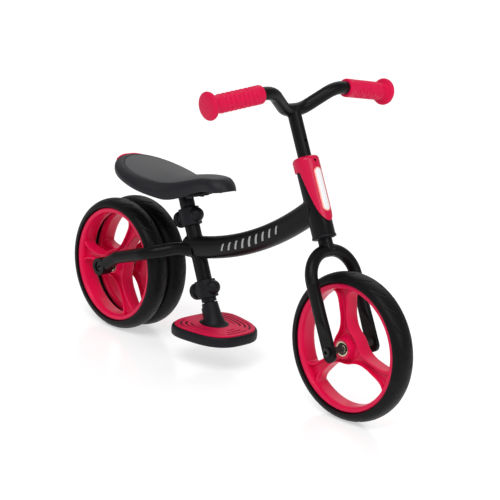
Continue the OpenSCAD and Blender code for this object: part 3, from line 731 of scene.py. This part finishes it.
def edge_drop(inset):
    """Fall of the rounded edge at a distance in from the rim."""
    return EDGE_FALL * (1 - math.sqrt(1 - ((EDGE_WIDE - inset) / EDGE_WIDE) ** 2))


def seat_shell():
    """Shell with a recess for the pad, a rounded edge, a skirt and a hollow underside."""
    rings = []
    for inset, drop in ((PAD_INSET, PAD_DROP), (14.95, 1.6), (14.8, 0.6), (14.4, 0.1)):
        x, y = seat_ring(inset)
        rings.append(np.column_stack([x, y, seat_surface(x, y) - drop]))
    for inset in (13.6, 12.4, 11.0, 9.5, 8.0, 6.6, 5.3, 4.1, 3.0, 2.1, 1.3, 0.7, 0.3):
        x, y = seat_ring(inset)
        rings.append(np.column_stack([x, y, seat_surface(x, y) - edge_drop(inset)]))
    x, y = seat_ring(0.3)
    top = seat_surface(x, y) - edge_drop(0.3)
    low = np.minimum(seat_base(x), top - 1.5)
    for share, inset in ((0.15, 0.1), (0.35, 0.0), (0.6, 0.1), (0.8, 0.5), (0.92, 1.0),
                         (0.98, 1.6), (1.0, 2.3), (1.0, 3.0), (0.97, 3.6), (0.9, 4.0)):
        x, y = seat_ring(inset)
        rings.append(np.column_stack([x, y, top + (low - top) * share]))
    x, y = seat_ring(4.2)
    roof = np.maximum(seat_surface(x, y) - SHELL_T, low + 1)
    for share in (0.3, 0.7):
        rings.append(np.column_stack([x, y, low + (roof - low) * share]))
    x, y = seat_ring(5.0)
    rings.append(np.column_stack([x, y, seat_surface(x, y) - SHELL_T]))
    verts, faces = join([loft(rings), seat_skin(PAD_INSET, PAD_DROP), seat_skin(5.0, SHELL_T)])
    make("seat_shell_moulded", verts, faces, "seat_plastic", "seat",
         ["seat_shell"])


def seat_pad():
    """Crowned pad in the shell's recess, with a rolled edge."""
    rings = []
    for inset, drop in ((15.3, 3.9), (15.25, 2.4), (15.3, 1.2), (15.6, 0.5), (16.2, 0.12),
                        (17.2, 0.0)):
        x, y = seat_ring(inset)
        rings.append(np.column_stack([x, y, seat_surface(x, y) - drop]))
    verts, faces = join([loft(rings), seat_skin(15.3, 3.9), seat_skin(17.2, 0.0)])
    obj = make("seat_pad_skin", verts, faces, "pad_grey", "seat", ["seat_pad"])


def tail_trim():
    """A slim bright strip let into the tail's rim."""
    n, sides = 70, 14
    path = []
    for i in range(n):
        u = math.radians(TRIM_SWEEP * (2 * i / (n - 1) - 1))
        x0, x1 = SEAT_TAIL + 1.0, SEAT_NOSE - 1.0
        x = (x0 + x1) / 2 - (x1 - x0) / 2 * math.cos(u)
        y = float(seat_width(np.array(x), 1.0)) * (1 if u >= 0 else -1)
        path.append((x, y, float(seat_surface(np.array(x), np.array(y))) - 3.6))
    path = np.array(path)
    taper = np.sin(np.linspace(0.02, math.pi - 0.02, n)) ** 0.5
    v, faces = tube_along(path, 2.1 * taper + 0.05, sides, closed=False)
    faces += [tuple(range(sides))[::-1], tuple(range((n - 1) * sides, n * sides))]
    make("tail_trim_strip", v, faces, "red_plastic", "seat", ["tail_trim"])


seat_shell()
seat_pad()
tail_trim()


# ---------------------------------------------------------------- footrest

FOOT_X, FOOT_HALF, FOOT_Z, FOOT_T = -28.0, 60.0, 44.0, 16.0
# Squareness of the pad's plan, how much it narrows to the front, and the tread's height
FOOT_POWER, FOOT_TAPER, TREAD_T = 0.68, 0.16, 2.0
# Top of the socket along the seat tube's line
SOCKET_TOP = -87.0


def foot_plan(n):
    """The pad's rounded plan at unit size, as x and y."""
    t = np.arange(n) * TAU / n
    c = np.sign(np.cos(t)) * np.abs(np.cos(t)) ** FOOT_POWER
    s = np.sign(np.sin(t)) * np.abs(np.sin(t)) ** FOOT_POWER
    return c, s * (1 - FOOT_TAPER * c)


def foot_base():
    """Base of the footrest, with a rounded rim round the tread."""
    rings = []
    px, py = foot_plan(260)
    for inset, z in ((9, 0.8), (5.5, 0.2), (3.2, 0.0), (1.6, 0.5), (0.6, 1.7), (0.15, 3.6),
                     (0.0, 7.0), (0.1, 11.0), (0.5, 13.4), (1.3, 15.1), (2.4, 15.9),
                     (3.4, 16.0), (3.8, 15.7), (4.0, 15.2), (4.0, 14.0), (12, 14.0)):
        half = FOOT_HALF - inset
        rings.append(np.column_stack([FOOT_X + half * px, half * py,
                                      np.full(len(px), FOOT_Z + z)]))
    verts, faces = loft(rings, True, True)
    make("foot_base_moulded", verts, faces, "dark_plastic", "footrest",
         ["foot_base"])


def foot_tread():
    """Grip pad with nested grooves that run parallel to its edge."""
    n, m = 520, 132
    half = FOOT_HALF - 4.0
    px, py = foot_plan(n)
    inset = np.concatenate([[0.0, 0.0, 0.15, 0.5, 1.0], np.linspace(1.5, 49, m)])
    drop = np.concatenate([[2.0, 0.8, 0.3, 0.08, 0.0], np.zeros(m)])
    rho = (half - inset)[:, None]
    x, y = FOOT_X + rho * px, rho * py
    ang = np.degrees(np.arctan2(y, x - FOOT_X))
    away = np.abs((np.abs(ang) - 90))
    depth = np.zeros_like(x)
    for line, hi in ((8.0, 60), (15.0, 52), (22.0, 42), (29.0, 30)):
        band = 1 - smooth_step(np.abs(inset[:, None] - line), 0.9, 1.5)
        depth = np.maximum(depth, band * (1 - smooth_step(away, hi - 1, hi + 1)))
    for line, reach in ((9.0, 24), (17.0, 20), (25.0, 15)):
        band = 1 - smooth_step(np.abs(inset[:, None] - line), 0.9, 1.5)
        depth = np.maximum(depth, band * (1 - smooth_step(np.abs(ang), reach - 1, reach + 1)))
    z = FOOT_Z + FOOT_T + TREAD_T - drop[:, None] - 1.5 * depth
    pts = np.stack([x, y, z], -1).reshape(-1, 3)
    faces = grid_faces(len(inset), n, False, True)
    mid = (depth[:-1] + depth[1:] + np.roll(depth, -1, 1)[:-1]
           + np.roll(depth, -1, 1)[1:]) / 4
    looks = (mid.reshape(-1) > 0.62).astype(int).tolist()
    faces += [tuple(range(n)), tuple(range((len(inset) - 1) * n, len(inset) * n))]
    looks += [0, 0]
    make("foot_tread_grooved", pts, faces, ["red_rubber", "dark_plastic"], "footrest",
         ["foot_tread"], face_looks=looks)


def foot_socket():
    """Tapered socket whose foot flares out over the pad, with a lug behind."""
    n = 120
    a = np.arange(n) * TAU / n
    m = np.array(SEAT)
    floor_z = FOOT_Z + FOOT_T + TREAD_T
    rings = []
    for q, r in ((SOCKET_TOP, 8.6), (SOCKET_TOP, 11.6), (SOCKET_TOP - 0.5, 12.3),
                 (SOCKET_TOP - 1.6, 12.6), (SOCKET_TOP - 8, 13.1), (SOCKET_TOP - 16, 13.8),
                 (SOCKET_TOP - 24, 14.8)):
        p = np.column_stack([r * np.cos(a), r * np.sin(a), np.full(n, q)]) * MM
        rings.append(p @ m[:3, :3].T + m[:3, 3])
    top = rings[-1]
    axis_x = float((SEAT @ Vector((0, 0, (SOCKET_TOP - 33) * MM))).x)
    for k, r, z in ((0.45, 15.8, 5.0), (0.75, 17.3, 2.4), (0.92, 19.2, 0.9),
                    (1.0, 21.5, 0.25), (1.0, 22.4, -0.1), (1.0, 22.4, -2.2)):
        foot = np.column_stack([axis_x + r * 1.12 * MM * np.cos(a), r * MM * np.sin(a),
                                np.full(n, (floor_z + z) * MM)])
        rings.append(top + (foot - top) * k)
    verts, faces = loft(rings, False, True)
    lug = []
    for q, back, half in ((SOCKET_TOP - 33, 17.5, 5.2), (SOCKET_TOP - 22, 17.8, 5.0),
                          (SOCKET_TOP - 7.5, 17.9, 4.8), (SOCKET_TOP - 6.2, 17.4, 4.4)):
        p = rounded([(-8, -half), (-back, -half), (-back, half), (-8, half)], 1.2, 3)
        p = np.column_stack([p, np.full(len(p), q)]) * MM
        lug.append(p @ m[:3, :3].T + m[:3, 3])
    verts, faces = join([(verts, faces), loft(lug, True, True)])
    make("foot_socket_moulded", verts, faces, "dark_plastic", "footrest",
         ["foot_socket"], scale=1.0)


foot_base()
foot_tread()
foot_socket()


# ---------------------------------------------------------------- clamps and knobs

for node in ("seat_clamp", "foot_clamp"):
    soft_copy(node, "dark_plastic", "frame", 0.6, 10)
soft_copy("head_cover", "cover_red", "frame", 0.5, 4)


def knob(word, q):
    """Hand knob behind a clamp: a domed disc with a ribbed edge, on its stud."""
    n, ribs, back, thick = 288, 24, -18.6, 9.0
    a = np.arange(n) * TAU / n
    wave = 0.5 + 0.5 * np.cos(ribs * a)
    rings = []
    for share, r, rib in ((0.0, 2.95, 0), (0.0, 9.5, 0), (0.0, 12.2, 0), (0.05, 12.9, 0.2),
                          (0.14, 13.4, 0.8), (0.5, 13.5, 0.9), (0.80, 13.4, 0.8),
                          (0.93, 12.9, 0.3), (1.0, 12.0, 0), (1.0, 10.6, 0), (1.06, 10.2, 0),
                          (1.16, 9.2, 0), (1.2, 7.0, 0), (1.21, 3.0, 0)):
        rr = r - rib * (1 - wave) * 0.9
        rings.append(np.column_stack([np.full(n, back - thick * share), rr * np.cos(a),
                                      rr * np.sin(a)]))
    disc = loft(rings, False, True)
    stud = loft([np.column_stack([np.full(n, x), 2.95 * np.cos(a), 2.95 * np.sin(a)])
                 for x in (-19.5, -10.9)], True, True)
    verts, faces = join([disc, stud])
    at = SEAT @ Matrix.Translation((0, 0, q * MM))
    make(word + "_knob_ribbed", verts, faces, "dark_plastic", word + "_knob",
         [word + "_knob"], at)


knob("seat", CLAMP_Q)
knob("foot", FOOT_CLAMP_Q)


# ---------------------------------------------------------------- badge plate and stripes

HEAD_R, COVER_OUT = 17.0, 19.4


def badge_plate():
    """Blank rounded plate, white with a warm border."""
    half_w, s0, s1 = 7.5, 194.0, 259.0
    n = 144
    rings = []
    mid = (s0 + s1) / 2
    straight = (s1 - s0) / 2 - half_w
    a = (np.arange(n) + 0.5) * TAU / n
    steps = ((0.0, -0.8), (0.0, 0.35), (0.25, 0.6), (0.7, 0.7), (1.6, 0.72), (2.6, 0.74),
             (4.0, 0.78), (5.5, 0.8), (7.3, 0.82))
    for inset, lift in steps:
        r = half_w - inset
        y = r * np.cos(a)
        s = mid + r * np.sin(a) + straight * np.sign(np.sin(a))
        x = np.sqrt((COVER_OUT + lift) ** 2 - y ** 2)
        rings.append(np.column_stack([x, y, s]))
    verts, faces = loft(rings, True, True)
    obj = make("badge_plate_blank", verts, faces, "white_plate", "frame",
               ["badge_plate"], HEAD)
    nt, links, bsdf = nodes_of(MAT["white_plate"])
    attr = obj.data.attributes.new("border", "FLOAT", "POINT")
    inv = np.array(HEAD.inverted())
    co = np.zeros(len(obj.data.vertices) * 3)
    obj.data.vertices.foreach_get("co", co)
    local = (co.reshape(-1, 3) @ inv[:3, :3].T + inv[:3, 3]) / MM
    ds = np.maximum(np.abs(local[:, 2] - mid) - straight, 0)
    edge = half_w - np.hypot(local[:, 1], ds)
    attr.data.foreach_set("value", np.clip(1 - edge / 3.6, 0, 1).astype(np.float32))
    read = nt.new("ShaderNodeAttribute")
    read.attribute_name = "border"
    ramp = nt.new("ShaderNodeValToRGB")
    ramp.color_ramp.elements[0].color = (0.84, 0.84, 0.86, 1)
    ramp.color_ramp.elements[0].position = 0.15
    ramp.color_ramp.elements[1].color = (0.82, 0.09, 0.08, 1)
    ramp.color_ramp.elements[1].position = 0.95
    middle = ramp.color_ramp.elements.new(0.55)
    middle.color = (0.85, 0.50, 0.42, 1)
    links.new(read.outputs["Fac"], ramp.inputs["Fac"])
    links.new(ramp.outputs["Color"], bsdf.inputs["Base Color"])


badge_plate()

# The main tube's radius, its bend and its slope at the seat tube
MAIN_R, BEND_R, SLOPE0 = 17.5, 518.0, math.radians(8)
MAIN_X0, MAIN_Z0 = -104.0, 170.3
CENTRE = np.array([MAIN_X0 - BEND_R * math.sin(SLOPE0), MAIN_Z0 + BEND_R * math.cos(SLOPE0)])


def main_point(along, around, r):
    """Point on the main tube: along its arc in mm, around its section, at radius r."""
    th = SLOPE0 + along / BEND_R
    d = BEND_R + r * -np.sin(around)
    return np.stack([CENTRE[0] + d * np.sin(th), r * -np.cos(around) + 0 * th,
                     CENTRE[1] - d * np.cos(th)], -1)


def stripes(side, word):
    """Plain slanted dashes along the main tube."""
    parts = []
    count, start, pitch, tall = 9, 96.0, 15.5, math.radians(24)
    for i in range(count):
        fade = abs(i - (count - 1) / 2)
        width = 7.5 - 0.45 * fade
        reach = tall * (1 - 0.07 * fade)
        u = np.linspace(0, 1, 5)
        v = np.linspace(-1, 1, 17)
        uu, vv = np.meshgrid(u, v, indexing="ij")
        along = start + i * pitch + (uu - 0.5) * width * 0.62 + vv * 3.2
        p = main_point(along, vv * reach, MAIN_R + 0.12)
        p[..., 1] *= side
        parts.append((p.reshape(-1, 3), grid_faces(5, 17, False, False)))
    verts, faces = join(parts)
    obj = make("tube_stripes_" + word, verts, faces, "decal_grey", "frame")
    thick = obj.modifiers.new("thick", "SOLIDIFY")
    thick.thickness = 0.0001
    thick.offset = 0


stripes(1, "right")
stripes(-1, "left")


# ---------------------------------------------------------------- welds

def solve(f, lo, hi):
    """Where f changes sign between lo and hi, by halving."""
    for _ in range(40):
        mid = (lo + hi) / 2
        if f(mid) > 0:
            hi = mid
        else:
            lo = mid
    return (lo + hi) / 2


def main_distance(p):
    """Distance of a point in mm from the main tube's centre line."""
    return math.hypot(math.hypot(p[0] - CENTRE[0], p[2] - CENTRE[1]) - BEND_R, p[1])


def weld_rings():
    """Each weld's name, closed path in mm, bead size and body."""
    a = np.linspace(0, TAU, 96, endpoint=False)
    seat, head = np.array(SEAT), np.array(HEAD)
    found = []
    for end in (1, -1):
        ring = []
        for t in a:
            def point(q, t=t):
                p = np.array([12.0 * math.cos(t), 12.0 * math.sin(t), q]) * MM
                return (seat[:3, :3] @ p + seat[:3, 3]) / MM
            q = solve(lambda q: main_distance(point(end * q)) - MAIN_R, 0, 45)
            ring.append(point(end * q))
        found.append(("seat_tube_weld_" + ("upper" if end > 0 else "lower"), ring, 1.3,
                      "frame"))
    ring = []
    inverse = np.linalg.inv(head)
    for t in a:
        def gap(s, t=t):
            p = main_point(np.array(s), np.array(t), MAIN_R) * MM
            q = (inverse[:3, :3] @ p + inverse[:3, 3]) / MM
            return max(HEAD_R - math.hypot(q[0], q[1]), q[0])
        first = next(s for s in range(230, 345) if gap(s) > 0)
        s = solve(gap, first - 1, first)
        ring.append(main_point(np.array(s), np.array(t), MAIN_R))
    found.append(("head_tube_weld", ring, 1.4, "frame"))
    stem_r = 10.0
    arch_s, neck_r, fork_r = 140.0, 10.5, 9.25
    for word, s0, post, tube, sign, body in (
            ("stem_weld", BAR_S, stem_r, BAR_R, -1, "handlebar"),
            ("crown_weld", arch_s, neck_r, fork_r, 1, "fork")):
        x, y = post * np.cos(a), post * np.sin(a)
        z = s0 + sign * np.sqrt(np.clip(tube ** 2 - x ** 2, 0, None))
        ring = np.column_stack([x, y, z]) * MM
        found.append((word, (ring @ head[:3, :3].T + head[:3, 3]) / MM, 1.15, body))
    return found


for word, ring, size, body in weld_rings():
    verts, faces = bead(ring, size)
    make(word, verts, faces, "black_paint", body)

for node, width in (("fork_arch", 0.8), ("rear_bolts", 0.7), ("front_bolts", 0.8),
                    ("head_tube", 0.5), ("lower_bush", 0.4), ("crown_washer", 0.3),
                    ("seat_shim", 0.4), ("foot_shim", 0.4), ("lock_collar", 0.5),
                    ("seat_tube", 0.4), ("seat_bracket", 0.6), ("seat_screws", 0.4)):
    crisp(NODES[node], width)


# ---------------------------------------------------------------- stage, light, camera

def stage():
    mesh = bpy.data.meshes.new("floor")
    half = 30.0
    mesh.from_pydata([(-half, -half, 0), (half, -half, 0), (half, half, 0), (-half, half, 0)],
                     [], [(0, 1, 2, 3)])
    floor = bpy.data.objects.new("floor", mesh)
    bpy.context.scene.collection.objects.link(floor)
    mat = bpy.data.materials.new("floor_pale")
    nt, links, bsdf = nodes_of(mat)
    bsdf.inputs["Base Color"].default_value = (0.62, 0.62, 0.62, 1)
    bsdf.inputs["Roughness"].default_value = 0.16
    bsdf.inputs["Specular IOR Level"].default_value = 0.5
    bsdf.inputs["Emission Color"].default_value = (1, 1, 1, 1)
    bsdf.inputs["Emission Strength"].default_value = 0.52
    mesh.materials.append(mat)

    world = bpy.data.worlds.new("studio")
    bpy.context.scene.world = world
    world.use_nodes = True
    background = world.node_tree.nodes["Background"]
    background.inputs["Color"].default_value = (1, 1, 1, 1)
    background.inputs["Strength"].default_value = 0.42

    for name, power, spread, direction in (
            ("key", 1.5, 34, (-0.35, 0.65, -1.0)),
            ("side", 0.75, 26, (-1.0, 0.15, -0.55)),
            ("back", 0.6, 50, (0.5, -0.6, -0.8))):
        data = bpy.data.lights.new(name, "SUN")
        data.energy = power
        data.angle = math.radians(spread)
        light = bpy.data.objects.new(name, data)
        light.rotation_euler = Vector(direction).to_track_quat("-Z", "Y").to_euler()
        bpy.context.scene.collection.objects.link(light)

    data = bpy.data.cameras.new("camera")
    data.lens = 107.6
    data.sensor_width = 36.0
    camera = bpy.data.objects.new("camera", data)
    right = Vector((0.68093, 0.72901, 0.06985))
    down = Vector((0.23519, -0.12736, -0.96357))
    look = Vector((-0.69355, 0.67255, -0.25818))
    turn = Matrix((right, -down, -look)).transposed()
    camera.matrix_world = Matrix.Translation((1.5893, -1.5100, 0.7762)) @ turn.to_4x4()
    bpy.context.scene.collection.objects.link(camera)
    bpy.context.scene.camera = camera
    bpy.context.scene.view_settings.view_transform = "Standard"


stage()
